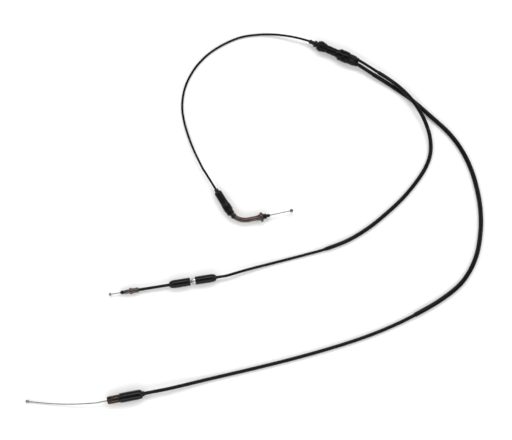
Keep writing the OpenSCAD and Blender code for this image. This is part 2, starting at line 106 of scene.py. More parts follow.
camera_data = bpy.data.cameras.new("camera")
camera_data.sensor_width = 36
camera_data.lens = camera_data.sensor_width * CAMERA_H / VIEW_W
camera = bpy.data.objects.new("camera", camera_data)
camera.location = (*VIEW_CENTRE, CAMERA_H)
bpy.context.scene.collection.objects.link(camera)
bpy.context.scene.camera = camera
view_h = round(VIEW_W * IMAGE_H / IMAGE_W, 3)
print("view is", VIEW_W, "by", view_h, "m, lens", round(camera_data.lens), "mm")

# %% [markdown]
# A black glossy cable is mostly seen by what it reflects, so nothing bright hangs straight above
# it. Four broad panels stand round the bench instead: the far one is the strongest and draws the
# pale line along each boot, and together they leave only a faint, soft shadow.

# %% Floor and lamps
FLOOR_SIZE, FLOOR_DROP = 14, 0.0002
bpy.ops.mesh.primitive_plane_add(size=FLOOR_SIZE, location=(0, 0, -FLOOR_DROP))
floor = bpy.context.object
floor.name = "floor"
bpy.ops.object.select_all(action="DESELECT")


def lamp(name, place, size, watts):
    data = bpy.data.lights.new(name, "AREA")
    data.shape = "RECTANGLE"
    data.size, data.size_y = size
    data.energy = watts
    made = bpy.data.objects.new(name, data)
    made.location = place
    aim = Vector((*VIEW_CENTRE, 0)) - made.location
    made.rotation_euler = aim.to_track_quat("-Z", "Y").to_euler()
    bpy.context.scene.collection.objects.link(made)
    return made


lamp("far_panel", (0.1, 1.5, 1.8), (2.8, 0.8), 39)
lamp("near_panel", (0.0, -1.9, 1.4), (2.8, 1.4), 28)
lamp("left_panel", (-2.0, 0.1, 1.4), (1.4, 2.8), 24)
lamp("right_panel", (2.1, 0.0, 1.4), (1.4, 2.8), 24)
world = bpy.data.worlds.new("studio")
bpy.context.scene.world = world
world.use_nodes = True
sky = world.node_tree.nodes["Background"]
sky.inputs["Color"].default_value = (1, 1, 1, 1)
sky.inputs["Strength"].default_value = 0.25
bpy.context.scene.view_settings.view_transform = "Standard"
print("floor and 4 lamps")

# %% [markdown]
# ## Shader maths in plain Python
# Every finish is made of nodes. `Link` wraps a socket, so `1 - mask * 0.5` adds its own Math nodes,
# and `Finish` starts a material and adds any other node from its type, settings and inputs.

# %% The two shader helpers


class Link:
    """A number or colour inside a material, which can be added, multiplied and so on."""

    def __init__(self, finish, socket):
        self.finish = finish
        self.socket = socket

    def __add__(self, other):
        return self.finish.maths("ADD", self, other)

    def __sub__(self, other):
        return self.finish.maths("SUBTRACT", self, other)

    def __rsub__(self, other):
        return self.finish.maths("SUBTRACT", other, self)

    def __mul__(self, other):
        return self.finish.maths("MULTIPLY", self, other)

    __radd__ = __add__
    __rmul__ = __mul__


class Finish:
    """One procedural material, with a Principled shader at its end."""

    def __init__(self, name, **constants):
        self.material = bpy.data.materials.new(name)
        self.material.use_nodes = True
        self.tree = self.material.node_tree
        self.shader = self.tree.nodes["Principled BSDF"]
        self.feed(**constants)

    def node(self, kind, settings=None, inputs=None, output=0):
        made = self.tree.nodes.new("ShaderNode" + kind)
        for key, value in (settings or {}).items():
            setattr(made, key, value)
        for key, value in (inputs or {}).items():
            self.plug(made.inputs[key], value)
        return Link(self, made.outputs[output])

    def plug(self, socket, value):
        if isinstance(value, Link):
            self.tree.links.new(value.socket, socket)
        else:
            socket.default_value = value

    def feed(self, **values):
        for key, value in values.items():
            self.plug(self.shader.inputs[key.replace("_", " ")], value)

    def maths(self, operation, a, b=0.0):
        return self.node("Math", {"operation": operation}, {0: a, 1: b})

    def mix(self, amount, first, second):
        made = self.tree.nodes.new("ShaderNodeMix")
        made.data_type = "RGBA"
        for socket, value in ((0, amount), (6, first), (7, second)):
            self.plug(made.inputs[socket], value)
        return Link(self, made.outputs[2])

    def noise(self, where, scale, detail=3.0, rough=0.5):
        inputs = {"Vector": where, "Scale": scale, "Detail": detail, "Roughness": rough}
        return self.node("TexNoise", None, inputs)

    def ramp(self, value, low, high):
        """0 below low, 1 above high, smooth between."""
        settings = {"interpolation_type": "SMOOTHSTEP"}
        return self.node("MapRange", settings, {"Value": value, "From Min": low, "From Max": high})

    def stretched(self, where, scale):
        return self.node("Mapping", None, {"Vector": where, "Scale": scale})

    def bump(self, height, distance, strength=1.0):
        inputs = {"Height": height, "Distance": distance, "Strength": strength}
        self.feed(Normal=self.node("Bump", None, inputs))


def rgb(red, green, blue):
    return (red, green, blue, 1.0)


print("shader helpers ready")

# %% [markdown]
# Three kinds of surface address are used. `bench` is the Object position in metres. `turned` is an
# attribute that each turned piece carries: its own upright position in millimetres, before it was
# laid on its axis. `run` is the UV map of a cable: metres along it, and turns round it.

# %% Where on the surface


def bench(finish):
    return finish.node("TexCoord", None, None, "Object")


def turned_parts(finish):
    """Position, station along the axis and angle round it, from 0 to 1."""
    where = finish.node("Attribute", {"attribute_name": "turned"}, None, "Vector")
    split = finish.node("SeparateXYZ", None, {"Vector": where}).socket.node
    x, y, z = (Link(finish, split.outputs[i]) for i in range(3))
    angle = finish.maths("ARCTAN2", y, x) * (0.5 / math.pi) + 0.5
    return where, z, angle


def run_parts(finish):
    """Position on a cable's own map, length along it in millimetres and turns round it."""
    where = finish.node("UVMap", {"uv_map": "run"})
    split = finish.node("SeparateXYZ", None, {"Vector": where}).socket.node
    return where, Link(finish, split.outputs[0]) * (1 / MM), Link(finish, split.outputs[1])


def wave(finish, value, period):
    """A ripple between 0 and 1 that repeats every period."""
    return finish.maths("SINE", value * (2 * math.pi / period)) * 0.5 + 0.5


print("addresses: bench, turned, run")

# %% [markdown]
# ## Rubber and plastic
# The boots and grommets are moulded rubber: nearly black, satin, with a faint mould line down each
# side, a fine skin and a little pale bloom. The covers of the cables are extruded plastic, shinier,
# with the wound steel coil just showing through as ripples. The sleeves are soft vinyl, wrinkled
# along their length. The splitter is moulded nylon, with a finer, drier grain than the rubber.

# %% Rubber


def make_rubber():
    finish = Finish("black_rubber", Specular_IOR_Level=0.2)
    where, _, angle = turned_parts(finish)
    skin = finish.noise(where, 3.2, 6.0, 0.65)
    bloom = finish.ramp(finish.noise(where, 0.35, 4.0), 0.52, 0.78)
    side = finish.maths("ABSOLUTE", finish.maths("FRACT", angle * 2) - 0.5)
    seam = 1 - finish.ramp(side, 0.004, 0.012)
    paler = bloom * 0.45 + seam * 0.2
    finish.feed(
        Base_Color=finish.mix(paler, rgb(0.002, 0.0017, 0.0024), rgb(0.009, 0.0085, 0.009)),
        Roughness=skin * 0.1 + bloom * 0.12 + 0.14,
    )
    finish.bump(skin * 0.4 + seam * 0.8, 0.00008)
    return finish.material


def make_splitter_nylon():
    finish = Finish("black_nylon", Specular_IOR_Level=0.12)
    where, station, _ = turned_parts(finish)
    grain = finish.noise(where, 6.0, 5.0, 0.6)
    rubbed = finish.ramp(finish.noise(finish.stretched(where, (1.2, 1.2, 0.25)), 1.1), 0.55, 0.8)
    finish.feed(
        Base_Color=finish.mix(rubbed * 0.5, rgb(0.0016, 0.0014, 0.0024), rgb(0.008, 0.0076, 0.009)),
        Roughness=grain * 0.12 + 0.14 + rubbed * 0.1,
    )
    finish.bump(grain * 0.5 + wave(finish, station, 0.9) * 0.05, 0.00006)
    return finish.material


rubber = make_rubber()
splitter_nylon = make_splitter_nylon()
print("made", rubber.name, "and", splitter_nylon.name)

# %% Covers and sleeves


def make_cover():
    finish = Finish("conduit_cover", Specular_IOR_Level=0.15)
    where, along, _ = run_parts(finish)
    coil = wave(finish, along, 1.3)
    drift = finish.noise(finish.stretched(where, (60, 6, 1)), 1.0)
    scuff = finish.ramp(finish.noise(finish.stretched(where, (300, 5, 1)), 1.0, 6.0, 0.7), 0.58, 0.75)
    finish.feed(
        Base_Color=finish.mix(scuff * 0.5, rgb(0.002, 0.002, 0.0023), rgb(0.009, 0.0086, 0.0086)),
        Roughness=drift * 0.14 + scuff * 0.16 + 0.17,
    )
    finish.bump(coil * 0.35 + drift * 0.5, 0.00006)
    return finish.material


def make_sleeve():
    finish = Finish("vinyl_sleeve", Specular_IOR_Level=0.15)
    where, along, _ = run_parts(finish)
    wrinkle = finish.noise(finish.stretched(where, (70, 9, 1)), 1.0, 4.0, 0.55)
    cross = finish.ramp(finish.noise(finish.stretched(where, (220, 2.5, 1)), 1.0, 2.0), 0.6, 0.8)
    dust = finish.ramp(finish.noise(finish.stretched(where, (900, 40, 1)), 1.0, 3.0), 0.62, 0.8)
    paler = dust * 0.35 + cross * 0.15
    finish.feed(
        Base_Color=finish.mix(paler, rgb(0.002, 0.002, 0.0023), rgb(0.009, 0.009, 0.0094)),
        Roughness=wrinkle * 0.22 + dust * 0.15 + 0.2,
    )
    finish.bump(wrinkle + cross * 0.5, 0.00022)
    return finish.material


cover_plastic = make_cover()
sleeve_vinyl = make_sleeve()
print("made", cover_plastic.name, "and", sleeve_vinyl.name)

# %% [markdown]
# ## Metal
# The elbow and its collar are plated a dark bronze brown, the pump's ferrule a greyer brown and the
# carburettor's a darker, warmer brown, partly its own plating and partly painted shade for the fewer
# highlights it catches. The adjuster is bright zinc with turning marks, the nipples are cast, and the
# bare wire is stranded, so its finish is a helix of ridges on the cable's own map, with painted shade
# darkening the grooves between the strands.

# %% Plated metals


def make_plate(name, dark, light, rough, mark_period, patch_scale):
    """A plated, turned metal: fine rings from the lathe, and patches where the plating is thin."""
    finish = Finish(name, Metallic=1.0)
    where, station, _ = turned_parts(finish)
    patch = finish.ramp(finish.noise(where, patch_scale, 5.0, 0.6), 0.35, 0.7)
    marks = wave(finish, station + finish.noise(where, 2.0) * 0.4, mark_period)
    speck = finish.ramp(finish.noise(where, 5.0, 6.0, 0.7), 0.6, 0.75)
    finish.feed(
        Base_Color=finish.mix(patch, dark, light),
        Roughness=marks * 0.05 + speck * 0.15 + patch * 0.06 + rough,
    )
    finish.bump(marks * 0.25 + speck * 0.3, 0.00004)
    return finish.material


bronze_plate = make_plate(
    "bronze_plate", rgb(0.05, 0.036, 0.03), rgb(0.125, 0.098, 0.088), 0.15, 0.45, 0.45
)
brown_plate = make_plate(
    "brown_plate", rgb(0.045, 0.036, 0.032), rgb(0.145, 0.12, 0.112), 0.13, 0.5, 0.6
)
# A darker, warmer copy of the brown plate for the carburettor's ferrule: partly its own plating, partly painted
# shade for the fewer highlights it catches.
dark_plate = make_plate("dark_plate", rgb(0.026, 0.018, 0.013), rgb(0.07, 0.052, 0.042), 0.2, 0.5, 0.6)
zinc_plate = make_plate("zinc_plate", rgb(0.44, 0.43, 0.46), rgb(0.66, 0.65, 0.69), 0.2, 0.4, 0.5)
cast_zinc = make_plate("cast_zinc", rgb(0.14, 0.14, 0.14), rgb(0.3, 0.295, 0.29), 0.3, 0.8, 1.2)
print("made bronze_plate, brown_plate, dark_plate, zinc_plate and cast_zinc")

# %% Stranded wire and the hidden steel
STRANDS = 7
STRAND_LAY = 9.0


def make_strand():
    finish = Finish("stranded_wire", Metallic=1.0)
    where, along, around = run_parts(finish)
    ridge = wave(finish, around * STRANDS + along * (STRANDS / STRAND_LAY), 1.0)
    grease = finish.ramp(finish.noise(finish.stretched(where, (120, 3, 1)), 1.0), 0.5, 0.75)
    # The base colour is darker in the grooves between the strands: painted shade.
    finish.feed(
        Base_Color=finish.mix(ridge, rgb(0.08, 0.08, 0.08), rgb(0.3, 0.295, 0.29)),
        Roughness=grease * 0.2 + 0.3 - ridge * 0.08,
    )
    finish.bump(ridge, 0.00008)
    return finish.material


def make_inner_steel():
    finish = Finish("inner_steel", Metallic=1.0)
    where = bench(finish)
    stain = finish.noise(where, 90.0, 4.0)
    finish.feed(
        Base_Color=finish.mix(stain, rgb(0.3, 0.29, 0.27), rgb(0.52, 0.51, 0.49)),
        Roughness=stain * 0.2 + 0.3,
    )
    finish.bump(finish.noise(where, 2500.0), 0.00002)
    return finish.material


def make_slider_nylon():
    finish = Finish("natural_nylon", Specular_IOR_Level=0.5)
    mottle = finish.noise(bench(finish), 320.0, 4.0)
    finish.feed(
        Base_Color=finish.mix(mottle, rgb(0.62, 0.56, 0.42), rgb(0.78, 0.73, 0.6)),
        Roughness=mottle * 0.15 + 0.35,
    )
    finish.bump(finish.noise(bench(finish), 1800.0), 0.00003)
    return finish.material


def make_floor():
    finish = Finish("bench_top", Specular_IOR_Level=0.2)
    tone = finish.noise(bench(finish), 3.0, 3.0)
    finish.feed(Base_Color=finish.mix(tone, rgb(0.9, 0.9, 0.9), rgb(0.93, 0.93, 0.925)), Roughness=0.75)
    return finish.material


strand = make_strand()
inner_steel = make_inner_steel()
slider_nylon = make_slider_nylon()
floor.data.materials.append(make_floor())
print("made", strand.name, inner_steel.name, slider_nylon.name)

# %% [markdown]
# ## The cables
# A cable is a fixed length of something springy, so each follows one smooth route: straight out of
# its fitting, down to the bench in a long slope, round its curve and up again into the next fitting.
# The points are listed, and `smooth` draws a Catmull-Rom curve through all of them.

# %% Smooth routes
ROUTE_STEPS = 6


def smooth(route, steps=ROUTE_STEPS):
    points = [Vector(p) for p in route]
    last = len(points) - 1
    made = []
    for i in range(last):
        a, b, c, d = points[max(i - 1, 0)], points[i], points[i + 1], points[min(i + 2, last)]
        for k in range(steps):
            t = k / steps
            bend = (2 * a - 5 * b + 4 * c - d) * t**2
            twist = (3 * b - a - 3 * c + d) * t**3
            made.append((2 * b + (c - a) * t + bend + twist) * 0.5)
    return made + [points[last]]


def run_lengths(path):
    """Distance along the path at each of its points."""
    total = [0.0]
    for a, b in zip(path, path[1:]):
        total.append(total[-1] + (b - a).length)
    return total


OUTLET_GAP = 2.85
upper_route = [
    on_axis(GRIP, 27), on_axis(GRIP, 66), on_axis(GRIP, 74),
    (-0.053, 0.098, 0.0046), (-0.061, 0.119, 0.0026), (-0.0665, 0.139, 0.0016),
    (-0.0685, 0.16, 0.0016), (-0.064, 0.184, 0.0016), (-0.052, 0.207, 0.0016),
    (-0.035, 0.2255, 0.0016), (-0.014, 0.2395, 0.0016),
    (0.01, 0.2496, 0.0016), (0.034, 0.2532, 0.002), (0.056, 0.2532, 0.0044), (0.076, 0.2506, 0.007),
    (0.09, 0.2476, 0.0079), on_axis(SPLITTER, -3), on_axis(SPLITTER, 3), on_axis(SPLITTER, 12),
]
pump_route = [
    *(on_axis(SPLITTER, station, OUTLET_GAP) for station in (54, 66, 72)),
    (0.1955, 0.2019, 0.0087), (0.209, 0.1932, 0.0093), (0.223, 0.1828, 0.0098), (0.237, 0.1694, 0.0099),
    (0.249, 0.1534, 0.0097), (0.259, 0.1344, 0.0082), (0.2654, 0.114, 0.0054), (0.266, 0.093, 0.0032),
    (0.259, 0.073, 0.0028), (0.245, 0.052, 0.0028), (0.227, 0.031, 0.0028), (0.206, 0.0115, 0.0028),
    (0.183, -0.007, 0.0028), (0.155, -0.024, 0.0028), (0.124, -0.036, 0.0028),
    (0.098, -0.0433, 0.002), (0.072, -0.0501, 0.002), (0.048, -0.0562, 0.0028), (0.032, -0.0602, 0.0039),
    (0.016, -0.0644, 0.0052), (0.002, -0.0685, 0.0063),
    on_axis(PUMP, -12), on_axis(PUMP, -6), on_axis(PUMP, 18),
]
carb_route = [
    *(on_axis(SPLITTER, station, -OUTLET_GAP) for station in (54, 66, 72)),
    (0.1885, 0.1995, 0.0068), (0.205, 0.1894, 0.0048), (0.222, 0.1784, 0.0034), (0.242, 0.1644, 0.0032),
    (0.268, 0.1417, 0.0032), (0.29, 0.1214, 0.0032), (0.307, 0.0995, 0.0032), (0.32, 0.074, 0.0032),
    (0.3285, 0.0465, 0.0032), (0.3335, 0.017, 0.0032), (0.3335, -0.014, 0.0032), (0.327, -0.048, 0.0032),
    (0.31, -0.079, 0.0032), (0.282, -0.103, 0.0032), (0.245, -0.1247, 0.0032),
    (0.215, -0.1395, 0.0025), (0.183, -0.1525, 0.0025), (0.15, -0.1638, 0.0025),
    (0.116, -0.174, 0.0025), (0.082, -0.1834, 0.0025), (0.048, -0.192, 0.0025),
    (0.014, -0.2002, 0.0025), (-0.02, -0.2081, 0.0026),
    (-0.046, -0.2142, 0.0038), (-0.068, -0.2194, 0.0056),
    on_axis(CARB, -32), on_axis(CARB, -24), on_axis(CARB, 30),
]
carb_wire_route = [
    on_axis(CARB, 24), on_axis(CARB, 58), on_axis(CARB, 66),
    (-0.196, -0.2436, 0.0062), (-0.213, -0.2446, 0.0047), (-0.232, -0.2447, 0.003),
    (-0.252, -0.2437, 0.0021), (-0.27, -0.242, 0.0019), (-0.275, -0.2415, 0.0019),
]
ROUTES = upper_route, pump_route, carb_route, carb_wire_route
upper_path, pump_path, carb_path, carb_wire_path = (smooth(route) for route in ROUTES)
for path in (upper_path, pump_path, carb_path, carb_wire_path):
    print("a route of", round(run_lengths(path)[-1], 3), "m")

# %% [markdown]
# A cable is swept as a tube of rings. It could be a bevelled curve, but the covers are hollow, the
# sleeves change their width, and the finishes need a map that runs in real metres, so the rings are
# made here, with the wall turned back inside where the tube is open.

# %% Sweeping a tube


def sweep(name, path, radius, wall=0.0, sides=20):
    """A tube along a path. radius is in millimetres: a number, or a function of the distance run."""
    run = run_lengths(path)
    points, faces, addresses = [], [], []
    skins = (0.0, wall) if wall else (0.0,)
    for inset in skins:
        for i, centre in enumerate(path):
            along = (path[min(i + 1, len(path) - 1)] - path[max(i - 1, 0)]).normalized()
            side = along.cross(Vector((0, 0, 1))).normalized()
            up = side.cross(along)
            size = (radius(run[i] / MM) if callable(radius) else radius) - inset
            for k in range(sides):
                angle = 2 * math.pi * k / sides
                points.append(centre + size * MM * (math.cos(angle) * side + math.sin(angle) * up))
    count = len(path)
    for skin in range(len(skins)):
        start = skin * count * sides
        for i in range(count - 1):
            for k in range(sides):
                after = (k + 1) % sides
                low, high = start + i * sides, start + (i + 1) * sides
                face = [low + k, high + k, high + after, low + after]
                spots = [(run[i], k), (run[i + 1], k), (run[i + 1], k + 1), (run[i], k + 1)]
                if skin:
                    face.reverse()
                    spots.reverse()
                faces.append(face)
                addresses.append(spots)
    for i, flip in ((0, False), (count - 1, True)):
        outer = [i * sides + k for k in range(sides)]
        if wall:
            inner = [index + count * sides for index in outer]
            following = [(k + 1) % sides for k in range(sides)]
            rims = [[outer[k], outer[n], inner[n], inner[k]] for k, n in enumerate(following)]
        else:
            rims = [outer]
        for face in rims:
            if flip:
                face.reverse()
            faces.append(face)
            addresses.append([(run[i], index % sides) for index in face])
    mesh = bpy.data.meshes.new(name)
    mesh.from_pydata(points, [], faces)
    layer = mesh.uv_layers.new(name="run")
    corners = [spot for spots in addresses for spot in spots]
    for corner, (distance, turn) in zip(layer.data, corners):
        corner.uv = (distance, turn / sides)
    piece = bpy.data.objects.new(name, mesh)
    bpy.context.scene.collection.objects.link(piece)
    mesh.shade_smooth()
    mesh.set_sharp_from_angle(angle=math.radians(50))
    return piece


def finish_piece(piece, material, body, slot, *stands_for):
    """Gives a piece its finish and body, and hides the CAD nodes it stands for."""
    piece.data.materials.clear()
    piece.data.materials.append(material)
    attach(piece, body)
    if stands_for:
        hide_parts(*stands_for)
    return piece


print("sweep ready")

# %% Covers of the three cables
UPPER_R, PUMP_R, CARB_R, COVER_T = 1.5, 1.9, 2.45, 0.4


def cover(name, path, radius, node):
    piece = sweep(name, path, radius, COVER_T)
    print(name, len(piece.data.polygons), "faces")
    return finish_piece(piece, cover_plastic, "cable_body", "casing_plastic", node)


upper_cover = cover("upper_cable", upper_path, UPPER_R, "upper_conduit")
pump_cover = cover("pump_cable", pump_path, PUMP_R, "pump_conduit")
carb_cover = cover("carburettor_cable", carb_path, CARB_R, "carb_conduit")

# %% [markdown]
# The sleeves are cut from a roll of soft tube and pushed over both lower cables before the ends go
# on. They start tight at the splitter and hang looser further down, so their width grows. Cutting
# leaves a square end on the thick one, and the thin one has curled in a little at its lip.

# %% Sleeves
SLEEVE_FIRST, SLEEVE_LAST = 3 * ROUTE_STEPS, 17 * ROUTE_STEPS
SLEEVE_T = 0.22
LOOSENS_FROM, LOOSE_AT = 30, 150
PUCKER = 0.03


def ease(value, low, high):
    """0 below low, 1 above high, smooth between."""
    t = min(max((value - low) / (high - low), 0), 1)
    return t * t * (3 - 2 * t)


def sleeve_width(tight, loose, length, lip):
    def width(distance):
        size = tight + (loose - tight) * ease(distance, LOOSENS_FROM, LOOSE_AT)
        size += PUCKER * math.sin(distance / 11) * math.sin(distance / 4.3)
        return size - lip * (1 - ease(length - distance, 0, 4))

    return width


def sleeve(name, path, tight, loose, lip, node):
    stretch = path[SLEEVE_FIRST : SLEEVE_LAST + 1]
    length = run_lengths(stretch)[-1] / MM
    piece = sweep(name, stretch, sleeve_width(tight, loose, length, lip), SLEEVE_T, 24)
    print(name, round(length), "mm long")
    return finish_piece(piece, sleeve_vinyl, "cable_body", "sleeve_pvc", node)


pump_sleeve = sleeve("pump_sleeve_tube", pump_path, 2.5, 2.72, 0.3, "pump_sleeve")
carb_sleeve = sleeve("carburettor_sleeve_tube", carb_path, 2.85, 3.15, 0.0, "carb_sleeve")

# %% [markdown]
# ## Turning a fitting
# Boots, caps, collars and ferrules are all round, so one helper models them as on a lathe: a circle
# is added at the first station, then extruded and resized from station to station along the outline.
# An outline that comes back to its start makes a hollow piece, and its doubles are merged there.
# The piece stands upright while it is shaped, keeps its upright position as the `turned` attribute
# for its finish, and is then laid on its axis.

# %% The lathe


def upright(name, outline, segments=48):
    """A solid of revolution from (station, radius) pairs in millimetres. Equal ends close into a ring."""
    station, radius = outline[0]
    hollow = outline[0] == outline[-1]
    bpy.ops.object.select_all(action="DESELECT")
    fill = "NOTHING" if hollow else "NGON"
    bpy.ops.mesh.primitive_circle_add(vertices=segments, radius=radius * MM, fill_type=fill)
    piece = bpy.context.object
    piece.name = piece.data.name = name
    bpy.ops.object.mode_set(mode="EDIT")
    bpy.ops.transform.translate(value=(0, 0, station * MM))
    for next_station, next_radius in outline[1:]:
        step = (0, 0, (next_station - station) * MM)
        bpy.ops.mesh.extrude_region_move(TRANSFORM_OT_translate={"value": step})
        scale = next_radius / radius
        bpy.ops.transform.resize(value=(scale, scale, 1))
        station, radius = next_station, next_radius
    bpy.ops.mesh.select_all(action="SELECT")
    if hollow:
        bpy.ops.mesh.remove_doubles(threshold=1e-7)
    bpy.ops.mesh.normals_make_consistent(inside=False)
    bpy.ops.object.mode_set(mode="OBJECT")
    return piece


def lay(piece, axis, edge=0.12, smooth_to=35):
    """Softens the sharp edges, keeps the upright positions and lays the piece on its axis."""
    bpy.ops.object.select_all(action="DESELECT")
    piece.select_set(True)
    bpy.context.view_layer.objects.active = piece
    if edge:
        bevel = piece.modifiers.new("soft_edges", "BEVEL")
        bevel.width = edge * MM
        bevel.segments = 2
        bevel.limit_method = "ANGLE"
        bevel.angle_limit = math.radians(30)
        bpy.ops.object.modifier_apply(modifier=bevel.name)
    bpy.ops.object.shade_smooth_by_angle(angle=math.radians(smooth_to))
    place = piece.data.attributes.new("turned", "FLOAT_VECTOR", "POINT")
    for spot, vertex in zip(place.data, piece.data.vertices):
        spot.vector = vertex.co / MM
    piece.matrix_world = axis
    bpy.ops.object.transform_apply(location=True, rotation=True, scale=True)
    piece.select_set(False)
    return piece


def rounded(stations, low, high, steps):
    """Points of a quarter round from one (station, radius) corner to another."""
    (z0, r0), (z1, r1) = stations
    made = []
    for i in range(steps + 1):
        angle = math.pi / 2 * i / steps
        made.append((z0 + (z1 - z0) * low(angle), r0 + (r1 - r0) * high(angle)))
    return made


def swell(start, end, steps=5):
    """A convex shoulder: it rises steeply at the smaller radius and levels out at the larger."""
    return rounded((start, end), lambda a: 1 - math.cos(a), math.sin, steps)


def shrink(start, end, steps=5):
    """A convex shoulder that leaves the larger radius level and falls steeply to the smaller."""
    return rounded((start, end), math.sin, lambda a: 1 - math.cos(a), steps)


def fitting(name, outline, axis, material, body, slot, node, edge=0.12, segments=48):
    """Turns an outline, lays it on its axis, and gives it its finish and its moving body."""
    return finish_piece(lay(upright(name, outline, segments), axis, edge), material, body, slot, node)


print("lathe ready")

# %% [markdown]
# ## The grip end
# The bent tube brings the upper cable round the corner of the twist-grip housing. Its collar stops
# against the housing and the rubber seal goes inside. The boot is a long sleeve with a fat lip over
# the adjuster, and thins to a neck that grips the cable.

# %% Boot, collar and seal
BOOT_L = 40
grip_boot_outline = [
    (0, 4.45), (0, 4.65), *swell((0, 4.65), (0.8, 5.0), 3)[1:], (5.0, 5.05), (5.6, 5.15),
    *swell((5.8, 5.25), (8.8, 6.0), 4)[1:],
    *shrink((12.4, 5.95), (15.6, 5.5), 4), (17.4, 5.35), (21, 5.12),
    (BOOT_L - 7, 5.1), *shrink((BOOT_L - 7, 5.1), (BOOT_L - 4.2, 4.0))[1:],
    (BOOT_L - 3.3, 3.0), (BOOT_L - 2.6, 2.7), (BOOT_L - 0.5, 2.6), (BOOT_L, 2.3),
    (BOOT_L, 1.72), (BOOT_L - 7, 1.72), (BOOT_L - 7.6, 4.4), (0.5, 4.4), (0, 4.45),
]
fitting("grip_rubber_boot", grip_boot_outline, GRIP, rubber, "grip_boot_body", "rubber", "grip_boot")

COLLAR_R, COLLAR_T, RECESS_T = 6.6, 3.6, 0.6
collar_outline = [
    (0, 3.9), (0, 5.7), (0.7, 6.5), (1.1, COLLAR_R), (COLLAR_T - 0.8, COLLAR_R),
    (COLLAR_T - 0.2, 6.3), (COLLAR_T, 5.8), (COLLAR_T, 4.4), (COLLAR_T - RECESS_T, 4.4),
    (COLLAR_T - RECESS_T, 2.0), (0, 2.0), (0, 3.9),
]
fitting("elbow_stop_collar", collar_outline, NECK, bronze_plate, "elbow", "bronze_metal", "elbow_collar",
        segments=64)

seal_outline = [
    (3, 1.0), (3, 4.2), (3.6, 4.25), *shrink((4.4, 4.2), (5.4, 3.2), 4), (5.9, 2.95),
    *swell((6.1, 3.0), (7.0, 3.55), 4), *shrink((8.0, 3.5), (9.0, 2.2), 4), (9.4, 1.85),
    *swell((9.6, 1.9), (10.4, 2.3), 3), (11.2, 2.15), *shrink((11.6, 2.1), (13.6, 1.1), 4),
    (13.6, 0.75), (11, 0.75), (3, 1.0),
]
fitting("elbow_rubber_seal", seal_outline, NECK, rubber, "elbow", "rubber", "elbow_seal", 0.0)
print("grip boot, collar and seal")

# %% [markdown]
# The tube is bent on a mandrel, so it is modelled the same way: a ring at the collar is drawn down
# its flare and neck, spun round the bend's centre, and drawn on into the boot, where it is threaded.
# Solidify then gives it its wall.

# %% The bent tube
ELBOW_R, BEND_R, BEND_ANGLE, NECK_L = 3.25, 24.5, 70, 15.5
BEND_CENTRE = Vector((0, BEND_R, -NECK_L)) * MM
FLARE = [(0.8, 4.35), (1.6, 3.85), (1.6, 3.4), (1.5, ELBOW_R)]
FLARE_R, FLARE_L = 4.4, 5.5
THREAD_R, THREADS, GROOVE = 2.95, 16, 0.93


def draw_on(direction, distance, scale=1.0):
    bpy.ops.mesh.extrude_region_move(TRANSFORM_OT_translate={"value": direction * distance * MM})
    if scale != 1:
        bpy.ops.transform.resize(value=(scale, scale, scale))


def bent_tube():
    bpy.ops.object.select_all(action="DESELECT")
    bpy.ops.mesh.primitive_circle_add(vertices=48, radius=FLARE_R * MM)
    piece = bpy.context.object
    piece.name = piece.data.name = "elbow_bent_tube"
    bpy.ops.object.mode_set(mode="EDIT")
    down = Vector((0, 0, -1))
    radius = FLARE_R
    for length, next_radius in FLARE:
        draw_on(down, length, next_radius / radius)
        radius = next_radius
    draw_on(down, NECK_L - FLARE_L)
    turn = math.radians(BEND_ANGLE)
    bpy.ops.mesh.spin(steps=30, angle=-turn, center=BEND_CENTRE, axis=(1, 0, 0))
    onward = Vector((0, math.sin(turn), -math.cos(turn)))
    draw_on(onward, 1.2)
    draw_on(onward, 0.3, THREAD_R / ELBOW_R)
    for _ in range(THREADS):
        for scale in (GROOVE, 1.0, 1 / GROOVE, 1.0):
            draw_on(onward, 0.25, scale)
    bpy.ops.mesh.select_all(action="SELECT")
    bpy.ops.mesh.normals_make_consistent(inside=False)
    bpy.ops.object.mode_set(mode="OBJECT")
    wall = piece.modifiers.new("wall", "SOLIDIFY")
    wall.thickness = 1.0 * MM
    wall.offset = -1
    bpy.ops.object.modifier_apply(modifier=wall.name)
    return piece


elbow_tube = lay(bent_tube(), NECK, 0.0, 40)
finish_piece(elbow_tube, bronze_plate, "elbow", "bronze_metal", "elbow_tube")
low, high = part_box("elbow_tube")
spots = [vertex.co for vertex in elbow_tube.data.vertices]
over = [round((max(spot[k] for spot in spots) - high[k]) / MM, 2) for k in range(3)]
under = [round((min(spot[k] for spot in spots) - low[k]) / MM, 2) for k in range(3)]
print("bent tube differs from its CAD box by", over, under, "mm")

# %% [markdown]
# The dust ring is a soft band on the bend, just outside the boot. It could be bent with the tube, but
# it is so short that a straight ring, laid on the bend's own tangent, sits on it just as well.

# %% The dust ring
RING_ANGLE = BEND_ANGLE - 19
ring_axis = NECK @ Matrix.Translation(BEND_CENTRE) @ Matrix.Rotation(math.radians(RING_ANGLE), 4, "X")
ring_axis = ring_axis @ Matrix.Translation((0, -BEND_R * MM, 0))
dust_ring_outline = [
    (-1.6, 3.5), (-1.6, 3.75), *swell((-1.6, 3.75), (-1.1, 4.05), 3)[1:], (-0.5, 4.05),
    (-0.3, 3.85), (0.1, 3.85), (0.3, 4.05), (1.1, 4.05), (1.6, 3.75), (1.6, 3.5), (-1.6, 3.5),
]
fitting("elbow_dust_seal", dust_ring_outline, ring_axis, rubber, "elbow", "rubber", "elbow_dust_ring")
print("dust ring")

# %% [markdown]
# Under the boot the bent tube screws into an adjuster barrel, held by a lock nut. The barrel is
# knurled for the fingers: every other strip of its faces is inset and pushed in. The nut is a lathe
# piece with only six sides.

# %% Adjuster barrels and lock nuts
KNURLS = 48
WIRE_HOLE_R = 0.95


